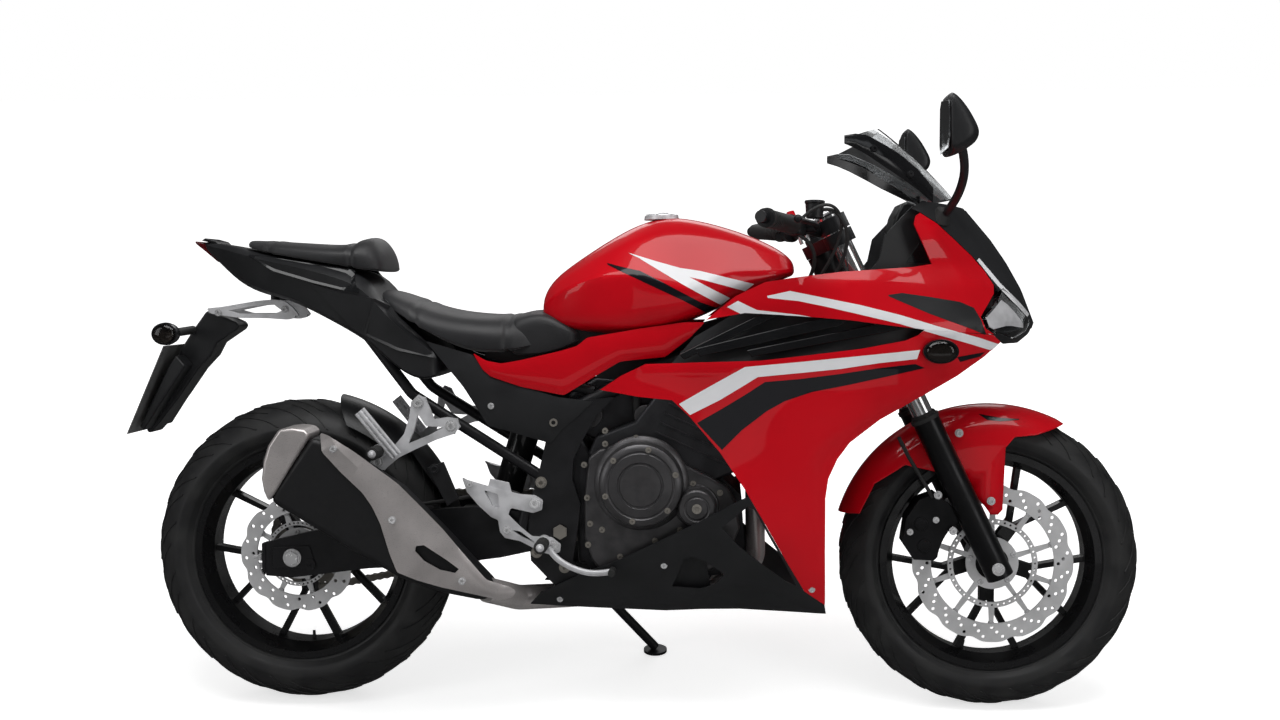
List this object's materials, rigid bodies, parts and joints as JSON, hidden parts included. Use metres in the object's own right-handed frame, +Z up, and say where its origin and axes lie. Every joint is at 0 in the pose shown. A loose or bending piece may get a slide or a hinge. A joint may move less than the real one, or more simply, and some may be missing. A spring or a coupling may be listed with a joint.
{
  "type": "sport motorcycle",
  "caption": "Faired sport motorcycle leaning on its side stand, with turning wheels, steering and a folding side stand.",
  "frame": {"origin": "on the ground below the middle of the leaning machine's bounding box", "axes": "+X forward along the wheelbase, +Y to the machine's left, towards its side stand, +Z up"},
  "size_m": [2.0569, 0.757, 1.2532],
  "materials": {
    "black_steel": "satin",
    "engine_black": "satin",
    "cover_alloy": "satin",
    "radiator_alloy": "matt",
    "steel": "brushed",
    "spring_black": "satin",
    "chain_steel": "satin",
    "red_paint": "gloss",
    "black_plastic": "satin",
    "seat_cover": "grained",
    "lamp_red": "clear",
    "lamp_amber": "clear",
    "lamp_glass": "clear",
    "plate_white": "satin",
    "hanger_alloy": "satin",
    "screen_clear": "clear",
    "chrome": "polished",
    "slider_alloy": "satin",
    "rubber": "matt",
    "tyre": "matt",
    "wheel_black": "satin",
    "disc_steel": "brushed"
  },
  "bodies": {
    "chassis": {"main_frame": "black_steel", "engine": "engine_black", "engine_covers": "cover_alloy", "airbox": "black_plastic", "radiator": "radiator_alloy", "exhaust_headers": "steel", "muffler": "black_plastic", "muffler_covers": "steel", "swingarm": "black_steel", "rear_caliper": "black_steel", "rear_shock": "spring_black", "rear_hugger": "black_plastic", "chain": "chain_steel", "fuel_tank": "red_paint", "side_panels": "red_paint", "frame_covers": "black_plastic", "rider_seat": "seat_cover", "pillion_seat": "seat_cover", "tail_cowl": "black_plastic", "tail_light": "lamp_red", "plate_hanger": "black_plastic", "number_plate": "plate_white", "indicators": "lamp_amber", "pillion_peg_hangers": "hanger_alloy", "rider_foot_controls": "hanger_alloy", "upper_cowl": "red_paint", "nose_cowl": "black_plastic", "headlights": "lamp_glass", "side_fairings": "red_paint", "belly_cowl": "black_plastic", "windscreen": "screen_clear", "screen_trims": "black_plastic", "instrument_panel": "black_plastic", "mirrors": "black_plastic"},
    "steering": {"yokes": "black_steel", "fork_tubes": "chrome", "fork_sliders": "slider_alloy", "front_mudguard": "black_plastic", "front_caliper": "slider_alloy", "handlebars": "black_steel", "grips": "rubber", "hand_controls": "black_plastic", "brake_hose": "rubber"},
    "front_wheel": {"front_tyre": "tyre", "front_rim": "wheel_black", "front_disc": "disc_steel"},
    "rear_wheel": {"rear_tyre": "tyre", "rear_rim": "wheel_black", "rear_disc": "disc_steel", "rear_sprocket": "disc_steel"},
    "side_stand": {"side_stand": "black_steel"}
  },
  "joints": [
    {"name": "steering", "type": "hinge", "parent": "chassis", "child": "steering", "pos_m": [0.44284, -0.0539, 0.81381], "axis": [-0.4305, 0.1567, 0.8889], "range_deg": [-34, 34]},
    {"name": "front_wheel_spin", "type": "hinge", "parent": "steering", "child": "front_wheel", "pos_m": [0.735, -0.14514, 0.29638], "axis": [0, 0.9848, -0.1736], "continuous": true},
    {"name": "rear_wheel_spin", "type": "hinge", "parent": "chassis", "child": "rear_wheel", "pos_m": [-0.675, -0.14299, 0.30857], "axis": [0, 0.9848, -0.1736], "continuous": true},
    {"name": "side_stand_fold", "type": "hinge", "parent": "chassis", "child": "side_stand", "pos_m": [-0.11199, -0.03373, 0.20261], "axis": [0, 0.9397, 0.342], "range_deg": [0, 98]}
  ]
}
